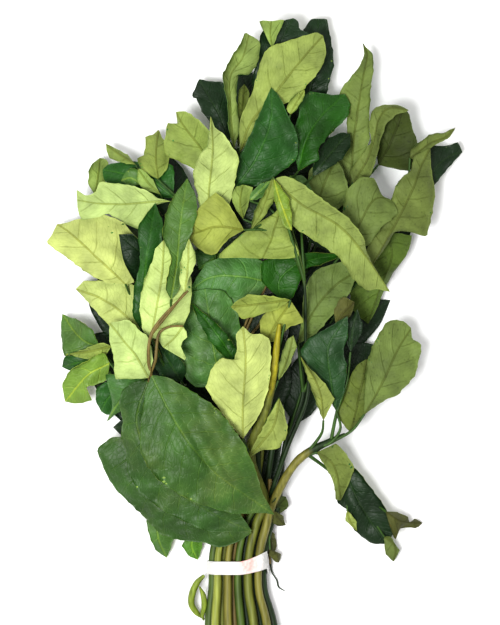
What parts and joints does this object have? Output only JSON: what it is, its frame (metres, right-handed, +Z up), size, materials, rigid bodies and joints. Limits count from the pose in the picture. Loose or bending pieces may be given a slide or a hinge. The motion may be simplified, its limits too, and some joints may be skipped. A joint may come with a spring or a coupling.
{
  "type": "tied bunch of fluted pumpkin shoots",
  "caption": "Leafy fluted pumpkin shoots with dark upper and pale under faces, tied round the stems with a white band and lying on a flat surface.",
  "frame": {"origin": "on the surface that the bunch lies on, under the middle of the tie band", "axes": "+Y from the cut stems to the leaf tips, +X to the right seen from above, +Z up out of the surface"},
  "size_m": [0.2681, 0.4411, 0.0665],
  "materials": {
    "leaf_shoot": "leaf blades, satin and dark green above, matt and pale green below, on olive stems",
    "tie": "thin white plastic band, slightly crumpled"
  },
  "bodies": {
    "root": {"shoot_top_back": "leaf_shoot", "shoot_top_centre": "leaf_shoot", "shoot_upper_right": "leaf_shoot", "shoot_far_right": "leaf_shoot", "shoot_centre_dark": "leaf_shoot", "shoot_right_dark": "leaf_shoot", "shoot_left_middle": "leaf_shoot", "shoot_left_top": "leaf_shoot", "shoot_upper_left": "leaf_shoot", "shoot_centre": "leaf_shoot", "shoot_diagonal": "leaf_shoot", "shoot_centre_left": "leaf_shoot", "shoot_left_low": "leaf_shoot", "shoot_low_middle": "leaf_shoot", "shoot_right_branch": "leaf_shoot", "shoot_front": "leaf_shoot", "tie_band": "tie"}
  },
  "joints": []
}
